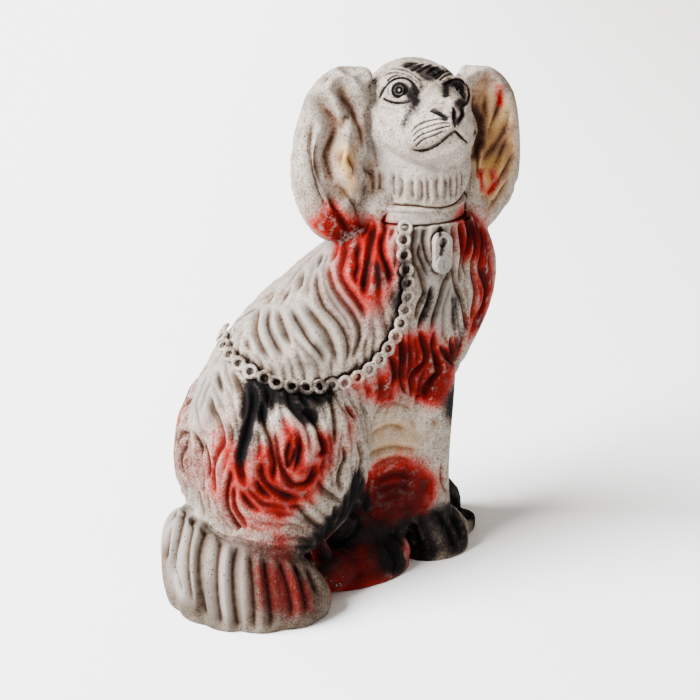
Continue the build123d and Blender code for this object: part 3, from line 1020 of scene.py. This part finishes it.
# Painted shade in this table: the grey on the throat and beside the muzzle, the black between the paws
# (where it also deepens the hind paw), the black up the far foreleg above its black paw, and the dark in
# the gap between cheek and far ear. The brown in the channel of each ear, mirrored from the near one, is
# brown paint deepened into painted shade.
PAINT = """
tip of the near ear: red 12 0.85
318,226 332,234 346,238 358,232
332,216 346,226

shoulder, both sides: red 18 0.72
352,245 350,262 358,280 370,296
374,236 378,256 382,272

chest, both sides: red 18 0.95
474,226 485,245 487,270 484,296 477,322
466,222 470,240

lower chest, both sides: red 16 0.9
404,350 412,368 422,386
424,342 432,364 436,384
450,352 446,376 438,396
394,372 386,386

under the chain, both sides: red 11 0.5
356,384 374,392 392,398

haunch, both sides: red 13 0.75 + soot 12 0.45
234,456 242,480 258,500 280,512
290,434 296,452 300,470
322,444 326,458 316,474
264,458 274,482 292,496 308,494

thin red on the haunch: red 13 0.3
216,440 216,462 214,484
228,494 246,520 276,534
350,420 350,440

wall, both sides: red 19 1.0 + soot 15 0.4
380,480 396,474 412,476 422,486
378,494 396,490 414,496
376,508 396,506 412,510

foot of the wall, both sides: red 17 1.0 + soot 15 0.8
376,508 394,510 410,512
372,522 390,524

hind paw, both sides: red 22 0.95 + soot 20 0.55
340,548 356,540 376,534
336,566 356,562 378,556
340,584 362,576 382,568

tail, both sides: red 11 0.36 + soot 12 0.9
262,572 264,580
280,548 284,556
292,580 297,592
268,597 271,604
304,594 306,604
286,600 290,606
276,574 279,580

collar: red 6 0.2
372,218 395,221

streaks in the far ear: red 4.5 0.8
499,88 500,102
481,172 482,188
492,172 494,184 489,192

tuft on the forehead: black 7.0 0.95
408,66 416,68 424,72 434,72
428,76 436,70

corners of the eyes: black 5.2 0.92
410,96 415,100
412,90 415,94
446,86 446,96
452,84 462,86
464,98 458,104

side of the snout: black 8.0 0.6
414,104 408,114 404,124

nose: black 3.2 0.95
434,111 441,115 446,118
454,112 454,118
461,110 461,117 458,122

black on the chest, both sides: black 9 0.45
402,262 404,282 398,300
376,268 380,280
430,295 426,315
456,300 452,322
464,330 458,346
480,325 486,318

black below the chain, both sides: black 9 0.95
252,386 268,392 290,398 312,398 328,394
256,400 262,412
300,406 310,416

black on the haunch, both sides: black 10 0.85
256,392 252,410 247,430
246,440 244,452
296,400 304,412

black below the knee, both sides: black 14 1.0
358,488 355,504 348,520 338,532
350,500 342,514
334,520 328,530
326,534 318,542 308,548

between the paws, both sides: black 15 0.7
350,540 372,532 392,536
384,552 398,556
320,572 332,560

forepaw, both sides: black 12 1.0
418,524 424,538 430,550
436,514 446,532 452,546
450,510 460,526 464,540
464,504 468,490
466,518 470,512 474,518
412,552 420,556

claws of the hind paw, both sides: black 10 0.85
388,562 396,568 402,566
386,546 396,556

edges of the wall, both sides: black 11 0.7
404,524 410,538
354,480 362,505

toes of the hind paw, both sides: soot 13 0.8
350,552 372,546 392,546
346,574 366,570

shade between cheek and far ear: soot 5 0.95 + brown 5 0.9
475,110 478,122 479,134 478,146 474,156
480,118 481,130 480,142

far foreleg: black 18 0.9
452,400 454,425 456,450
464,478 468,492

thin rose film, both sides: rose 22 0.85
196,470 214,496 240,524 276,540 306,542
222,430 226,460 240,492
300,262 318,262 336,268
330,284 352,304
322,214 346,220
250,556 256,576 262,600
276,552 284,576 290,600
302,580 306,604
206,420 202,450
360,250 368,290 374,316

along the chain, both sides: black 4.6 0.5 + brown 6.0 0.45
226,344 239,355 250,361 270,377 299,386 332,379 363,365 384,343 397,310 404,272 405,235

padlock: black 2.6 0.9
440,228 440,235
442,248 441,254

upper wall, both sides: ochre 20 0.3
380,428 396,424 412,432
384,452 404,450

middle of the chest, both sides: grey 15 0.6
418,225 420,250 424,272
442,272 438,300 432,330
398,226 400,246
446,235 448,310

back and haunch, both sides: grey 20 0.6
343,248 343,264 347,282 356,298
330,250 318,262 300,276
300,320 322,344
266,320 270,345
214,380 200,410
226,560 226,610
182,520 180,580

throat: grey 18 0.35
372,150 392,158 416,162 440,158 462,148
380,172 405,180 430,182 455,176

side of the muzzle: grey 6 0.6
470,116 474,130 472,144 466,154

channel of the ear, both halves: brown 9 0.55
344,90 350,104 357,118 363,136
322,108 332,122
336,126 331,142 328,160 330,178 336,194
354,150 354,164
372,165 374,188

channel of the far ear: brown 7 0.5
478,84 486,80 494,84
475,92 475,120 477,145
487,98 486,112
510,130 499,144 488,156
483,198 488,212
508,150 506,180 496,202

inside of the ear, both halves: ochre 10 0.6
350,162 348,174 353,186
342,150 346,162

inside of the far ear: ochre 13 0.8
483,92 482,115 485,140
500,108 500,130 494,150
490,150 486,165 490,190
508,150 504,168
"""
for mixes, text, plane in groups(PAINT):
    for colour, reach, strength in mixes:
        spray(colour, text, reach, strength, plane)
spray("black", EYE_LINES, 1.5, 0.9)
spray("black", BROW_LINES, 1.1, 0.6)
spray("black", NOSE_LINES, 1.2, 0.8)
spray("black", MOUTH_LINES, 1.2, 0.75)
spray("black", WHISKER_LINES, 0.9, 0.8)
spray("black", TUFT_LINES, 1.4, 0.7)
# Brown along the ripples of the wall: dirt and painted shade in their grooves.
spray("brown", WALL_RIPPLES, 2.4, 0.42, BODY_PLANE)
dab("black", "left_forepaw", 24, 1.0)
dab("black", "right_forepaw", 9, 0.6)
dab("black", "left_foreleg", 20, 0.75, 0.0, 0.15)
dab("red", "left_hind_paw", 20, 0.95)
dab("red", "right_hind_paw", 18, 0.9)
dab("black", "right_hind_paw", 11, 0.35, 0.7, 0.9)
dab("black", "left_hind_paw", 13, 0.45, 0.6, 0.9)
print("clouds of paint:", len(clouds))

# %% [markdown]
# The clouds become numbers on the points of a mesh, one per colour, and so do the depth of the cuts and
# the gap to the nearest tool mark. The materials read these numbers, so the paint follows the carving.

# %% Paint on the points
COLOURS = ("rose", "red", "black", "grey", "brown", "ochre", "soot")


def store(piece, name, values):
    attribute = piece.data.attributes.new(name, "FLOAT", "POINT")
    attribute.data.foreach_set("value", np.asarray(values, np.float32))


def paint(piece, drawn_black=0.0):
    """Stores how much of each colour reaches every point of a piece."""
    places = points_of(piece)
    grid = cells_of(places)
    left = {colour: np.ones(len(places)) for colour in COLOURS}
    for colour, line, reach, strength in clouds:
        near = near_line(grid, line, reach)
        if len(near):
            share = np.clip(nearest_on(places[near], line)[0] / reach, 0, 1)
            left[colour][near] *= 1 - strength * (1 - share) ** 1.2
    left["black"] *= 1 - drawn_black
    for colour in COLOURS:
        store(piece, colour, 1 - left[colour])


def closeness(places, tree, reach):
    """How near each place lies to another surface: 1 on it, 0 from the reach on."""
    gaps = [tree.find_nearest(Vector(place), reach)[3] or reach for place in places]
    return 1 - np.minimum(gaps, reach) / reach


DIRT_AND_SHADE_REACH = 2.2 * MM
FULL_GROOVE = 3.6 * MM
paint(skin)
groove = np.clip(depth_of_cut / FULL_GROOVE, 0, 1)
across = np.clip(gap_to_line, 0, FAR_GAP) / MM
places = points_of(skin)
grid = cells_of(places)
# Next to the chain, collar and padlock the skin counts as grooved, so it gets dirt and painted shade where
# they meet it; the low parts of these pieces next to the skin get the same.
for item, tree in ((chain, trees[1]), (collar, trees[2]), (padlock, trees[3])):
    paint(item)
    own = points_of(item)
    sunk = closeness(own, skin_tree, 1.8 * MM)
    store(item, "groove", sunk)
    store(item, "across", 3.0 - 3.0 * sunk)
    around = near_line(grid, own, DIRT_AND_SHADE_REACH)
    close = closeness(places[around], tree, DIRT_AND_SHADE_REACH)
    groove[around] = np.maximum(groove[around], np.minimum(close * 1.6, 1))
    across[around] = np.minimum(across[around], 2.4 - 2.4 * close)
store(skin, "groove", groove)
store(skin, "across", across)
for ball, spread, shade in ((right_eye, right_spread, 0.55), (left_eye, left_spread, 0.72)):
    paint(ball, iris_paint(spread, shade))
    store(ball, "groove", np.zeros(len(spread)))
    store(ball, "across", np.full(len(spread), 20.0))
print("painted the skin and the small pieces")

# %% [markdown]
# Cast plaster is chalky, off-white and full of pinholes. Here it carries thin matt distemper that has worn
# off the ridges and gathered dirt in the grooves, which also get painted shade. The material works in that
# order: bare plaster, then each colour, then dirt and painted shade in the cuts, then chips that show the
# bare plaster again.

# %% Worn painted plaster
def linear(hex_colour):
    """A colour for a socket from its sRGB hex code."""
    parts = [int(hex_colour[i : i + 2], 16) / 255 for i in (1, 3, 5)]
    return [v / 12.92 if v <= 0.04045 else ((v + 0.055) / 1.055) ** 2.4 for v in parts] + [1]


def put(tree, kind, sockets=(), out=0, **settings):
    """Adds a node with its settings, fills or links its sockets, and gives its output."""
    added = tree.nodes.new(kind)
    for name, value in settings.items():
        setattr(added, name, value)
    for name, value in dict(sockets).items():
        if isinstance(value, bpy.types.NodeSocket):
            tree.links.new(value, added.inputs[name])
        else:
            added.inputs[name].default_value = value
    return added.outputs[out] if len(added.outputs) else added


MIX = "ShaderNodeMix"
MATHS = "ShaderNodeMath"
PER_MM = 1000.0


def worn_plaster(name, bare, shade, pin_share=0.5, chip_level=0.685, settled=0.32):
    """Painted cast plaster: bare and shade are the two tones of the plaster itself."""
    material = bpy.data.materials.new(name)
    material.use_nodes = True
    tree = material.node_tree
    tree.nodes.clear()
    where = put(tree, "ShaderNodeTexCoord", out=3)

    def noise(size_mm, detail=4.0, rough=0.6):
        sockets = {"Vector": where, "Scale": PER_MM / size_mm, "Detail": detail, "Roughness": rough}
        return put(tree, "ShaderNodeTexNoise", sockets)

    def stretch(value, low, high, to_low=0.0, to_high=1.0):
        sockets = {0: value, 1: low, 2: high, 3: to_low, 4: to_high}
        return put(tree, "ShaderNodeMapRange", sockets, interpolation_type="SMOOTHSTEP")

    def maths(kind):
        return lambda first, second: put(tree, MATHS, {0: first, 1: second}, operation=kind)

    times, plus, minus = maths("MULTIPLY"), maths("ADD"), maths("SUBTRACT")

    def layer(share, under, over):
        return put(tree, MIX, {0: share, 6: under, 7: over}, out=2, data_type="RGBA")

    def mask(name):
        return put(tree, "ShaderNodeAttribute", out=2, attribute_name=name)

    broad = noise(26.0)
    patch = noise(6.0, 6.0, 0.7)
    grain = noise(1.2, 5.0, 0.7)
    speck = noise(0.5, 2.0, 0.5)
    groove = mask("groove")
    rough_edge = plus(times(grain, 0.55), times(patch, 0.45))

    def darker(share, under, hex_colour):
        sockets = {0: share, 6: under, 7: linear(hex_colour)}
        return put(tree, MIX, sockets, out=2, data_type="RGBA", blend_type="MULTIPLY")

    # Bare plaster: two tones in broad clouds, stained in patches, greyer towards the foot, and grainy.
    colour = layer(stretch(broad, 0.35, 0.65), linear(bare), linear(shade))
    colour = darker(stretch(patch, 0.44, 0.68, 0.0, 0.7), colour, "#b8a89b")
    low_down = put(tree, "ShaderNodeSeparateXYZ", {0: where}, out=2)
    colour = darker(stretch(low_down, 0.0, 90 * MM, 0.55, 0.0), colour, "#b5a596")
    colour = darker(stretch(grain, 0.46, 0.64, 0.0, 0.9), colour, "#a3948a")
    # A film of rose where red was wiped off, then each paint, thin at its edge and settled in the cuts.
    veil = times(mask("rose"), stretch(rough_edge, 0.30, 0.62, 0.35, 1.0))
    colour = darker(veil, colour, "#bd7b7c")
    worn = minus(times(groove, settled), 0.06)
    for paint_name, thin, thick, low, high in (
        ("grey", "#7f7872", "#5d5752", 0.45, 1.25),
        ("ochre", "#a8865a", "#866029", 0.40, 1.25),
        ("brown", "#6a4d3a", "#3f291f", 0.45, 1.30),
        ("red", "#83100a", "#450101", 0.42, 1.10),
        ("black", "#161110", "#010101", 0.46, 1.05),
    ):
        amount = plus(mask(paint_name), times(rough_edge, 0.9))
        amount = plus(amount, worn)
        tone = layer(stretch(amount, 0.85, 1.45), linear(thin), linear(thick))
        share = times(stretch(amount, low, high), stretch(mask(paint_name), 0.0, 0.12))
        colour = layer(share, colour, tone)

    # The red is deeper in patches. A maroon darkening lies low on the figure, and in the gap between cheek
    # and far ear it is painted shade.
    deep = times(stretch(mask("red"), 0.25, 0.8), stretch(noise(13.0), 0.46, 0.62, 0.0, 0.8))
    colour = darker(deep, colour, "#b48484")
    soot = times(mask("soot"), stretch(rough_edge, 0.30, 0.60, 0.6, 1.0))
    colour = darker(soot, colour, "#7d5454")
    # Brown dirt and painted shade in the grooves, darkest on the line of the cut itself.
    on_line = stretch(mask("across"), 0.2, 1.8, 1.0, 0.0)
    dirt_and_shade = times(stretch(groove, 0.12, 0.75), stretch(patch, 0.30, 0.60, 0.6, 0.95))
    colour = darker(dirt_and_shade, colour, "#ab9483")
    crease = times(on_line, stretch(groove, 0.32, 0.9))
    colour = darker(times(crease, 0.85), colour, "#75614f")
    # Paint rubbed off the ridges, flakes down to the plaster, and pinholes from air in the cast.
    ridge = minus(1.0, stretch(groove, 0.0, 0.35))
    painted = stretch(plus(mask("red"), mask("black")), 0.2, 0.9)
    carved = stretch(mask("across"), 2.5, 8.0, 1.0, 0.12)
    rub = times(times(ridge, carved), stretch(patch, 0.48, 0.60))
    kept = stretch(mask("black"), 0.1, 0.7, 0.55, 0.08)
    rub = times(rub, times(painted, kept))
    rub = times(rub, stretch(mask("soot"), 0.1, 0.6, 1.0, 0.15))
    colour = layer(rub, colour, linear("#8d7a70"))
    chip_noise = plus(times(patch, 0.55), times(grain, 0.45))
    chips = stretch(chip_noise, chip_level - 0.02, chip_level)
    chips = times(chips, painted)
    colour = layer(chips, colour, linear("#9d938a"))
    pin_sockets = {"Vector": where, "Scale": PER_MM / 3.4, "Randomness": 1.0}
    pins = put(tree, "ShaderNodeTexVoronoi", pin_sockets)
    pins = stretch(pins, 0.10, 0.16, 1.0, 0.0)
    pins = times(pins, stretch(patch, 0.96 - pin_share, 1.0 - pin_share))
    colour = layer(times(pins, 0.8), colour, linear("#1f1a17"))

    # Fine relief: grain, hairs that run along the locks, pinholes, and the steps of the flakes.
    hair_sockets = {"W": times(mask("across"), 1.25), "Scale": 1.0, "Detail": 1.0}
    hair = put(tree, "ShaderNodeTexNoise", hair_sockets, noise_dimensions="1D")
    height = plus(times(grain, 0.30), times(speck, 0.12))
    height = plus(height, times(hair, 0.28))
    height = plus(height, times(patch, 0.22))
    height = minus(height, times(pins, 0.6))
    height = minus(height, times(chips, 0.25))
    bump = put(tree, "ShaderNodeBump", {"Height": height, "Distance": 1.0 * MM, "Strength": 0.9})
    rough = plus(0.72, times(grain, 0.2))
    shader_sockets = {"Base Color": colour, "Roughness": rough, "Normal": bump}
    shader_sockets.update({"IOR": 1.5, "Specular IOR Level": 0.05})
    shader = put(tree, "ShaderNodeBsdfPrincipled", shader_sockets)
    put(tree, "ShaderNodeOutputMaterial", {"Surface": shader})
    return material


# Off-white, black and red distemper, all on off-white plaster. The tail is grey, nearly bare plaster.
BARE, SHADE = "#968d83", "#81776d"
white_plaster = worn_plaster("worn_white_distemper_on_plaster", BARE, SHADE)
black_plaster = worn_plaster("black_distemper_on_plaster", BARE, SHADE)
red_plaster = worn_plaster("red_distemper_on_plaster", BARE, SHADE)
grey_plaster = worn_plaster(
    "bare_grey_plaster", "#70685f", "#575046", pin_share=0.62, chip_level=0.60, settled=0.04
)
print("materials:", [look.name for look in (white_plaster, black_plaster, red_plaster, grey_plaster)])

# %% [markdown]
# The casting is handed over in named parts, one for each solid. Every face of the skin goes to the nearest
# solid, and a few rounds of majority voting make the borders run smooth. The parts are then separated by
# material slots, and each opening is closed with a fan that dips inwards, out of sight.

# %% Skin parts
VOTING_ROUNDS = 6
faces = skin.data.polygons
centres = np.zeros(len(faces) * 3)
faces.foreach_get("center", centres)
labels = np.array([nearest_number(centre) for centre in centres.reshape(-1, 3)])
corners = np.zeros(len(skin.data.loops), np.int64)
skin.data.loops.foreach_get("vertex_index", corners)
sizes = np.zeros(len(faces), np.int64)
faces.foreach_get("loop_total", sizes)
face_of_corner = np.repeat(np.arange(len(faces)), sizes)
for turn in range(VOTING_ROUNDS):
    votes = np.zeros((len(skin.data.vertices), len(SKIN_NODES)), np.float32)
    np.add.at(votes, (corners, labels[face_of_corner]), 1)
    tally = np.zeros((len(faces), len(SKIN_NODES)), np.float32)
    np.add.at(tally, face_of_corner, votes[corners])
    labels = tally.argmax(axis=1)
shares = np.bincount(labels, minlength=len(SKIN_NODES))
print("faces for each solid:", dict(zip(SKIN_NODES, shares.tolist())))

SLOTS = {"tail": "grey_plaster", "nose": "black_painted_plaster", "base_slab": "red_painted_plaster"}
for side in ("left", "right"):
    SLOTS[side + "_forepaw"] = SLOTS[side + "_eye"] = "black_painted_plaster"
    SLOTS[side + "_hind_paw"] = "red_painted_plaster"
LOOKS = {
    "worn_white_plaster": white_plaster,
    "grey_plaster": grey_plaster,
    "black_painted_plaster": black_plaster,
    "red_painted_plaster": red_plaster,
}

skin.data.materials.clear()
for name in SKIN_NODES:
    skin.data.materials.append(bpy.data.materials.new(name))
faces.foreach_set("material_index", labels.astype(np.int32))
select_only(skin)
bpy.ops.object.shade_smooth()
bpy.ops.object.mode_set(mode="EDIT")
bpy.ops.mesh.select_all(action="SELECT")
bpy.ops.mesh.separate(type="MATERIAL")
bpy.ops.object.mode_set(mode="OBJECT")
parts = {item.data.materials[0].name: item for item in bpy.context.selected_objects}
print("parts:", len(parts))


def close_openings(piece):
    """Closes each opening of a part with a fan that dips inwards."""
    select_only(piece)
    bpy.ops.object.mode_set(mode="EDIT")
    bpy.ops.mesh.select_mode(type="EDGE")
    bpy.ops.mesh.select_all(action="DESELECT")
    bpy.ops.mesh.select_non_manifold(
        use_wire=False, use_multi_face=False, use_non_contiguous=False, use_verts=False
    )
    bpy.ops.mesh.mark_sharp()
    bpy.ops.mesh.fill_holes(sides=0)
    bpy.ops.mesh.select_mode(type="FACE")
    bpy.ops.mesh.poke(offset=-2 * MM)
    bpy.ops.mesh.select_all(action="DESELECT")
    bpy.ops.object.mode_set(mode="OBJECT")


def hand_over(piece, node_name):
    slot = SLOTS.get(node_name, "worn_white_plaster")
    piece.name = node_name + "_painted"
    piece.data.materials.clear()
    piece.data.materials.append(LOOKS[slot])
    select_only(piece)
    bpy.ops.object.shade_smooth()
    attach(piece, "root")
    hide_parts(node_name)
    piece.data.calc_loop_triangles()
    print(piece.name, len(piece.data.loop_triangles), "triangles")


for name, piece in parts.items():
    close_openings(piece)
    hand_over(piece, name)
for piece, name in (
    (chain, "chain"),
    (collar, "collar"),
    (padlock, "padlock"),
    (right_eye, "right_eye"),
    (left_eye, "left_eye"),
):
    hand_over(piece, name)

# %% [markdown]
# The figure stands on a wide sheet of pale paper by a window on its left. The window is a large soft sun,
# so its shadow falls to the right. The paper's colour darkens away from the window as painted shade.

# %% Floor and light
bpy.ops.object.select_all(action="DESELECT")
bpy.ops.mesh.primitive_plane_add(size=14, location=(0, 0, 0))
floor = bpy.context.active_object
floor.name = "floor"
paper = bpy.data.materials.new("paper_with_painted_shade")  # matt background paper
paper.use_nodes = True
tree = paper.node_tree
place = put(tree, "ShaderNodeTexCoord", out=3)
# Painted shade: the paper's colour goes from pale on the left to darker on the right of the picture.
across_sockets = {0: place, 1: tuple(rightwards)}
across = put(tree, "ShaderNodeVectorMath", across_sockets, out=1, operation="DOT_PRODUCT")
share = put(tree, "ShaderNodeMapRange", {0: across, 1: -0.5, 2: 0.9}, interpolation_type="SMOOTHSTEP")
tone_sockets = {0: share, 6: (0.93, 0.93, 0.93, 1), 7: (0.5, 0.48, 0.45, 1)}
tone = put(tree, MIX, tone_sockets, out=2, data_type="RGBA")
tree.links.new(tone, tree.nodes["Principled BSDF"].inputs["Base Color"])
tree.nodes["Principled BSDF"].inputs["Roughness"].default_value = 0.9
tree.nodes["Principled BSDF"].inputs["Specular IOR Level"].default_value = 0.1
floor.data.materials.append(paper)

world = bpy.data.worlds.new("studio")
bpy.context.scene.world = world
world.use_nodes = True
world.node_tree.nodes["Background"].inputs["Color"].default_value = (1.0, 0.93, 0.86, 1)
world.node_tree.nodes["Background"].inputs["Strength"].default_value = 0.8

window = bpy.data.lights.new("window", "SUN")
window.energy = 28
window.color = (0.97, 0.985, 1.0)
window.angle = math.radians(42)
lamp = bpy.data.objects.new("window", window)
lamp.rotation_euler = (-Vector((-1.5, 0.12, 1.1))).to_track_quat("-Z", "Y").to_euler()
bpy.context.collection.objects.link(lamp)
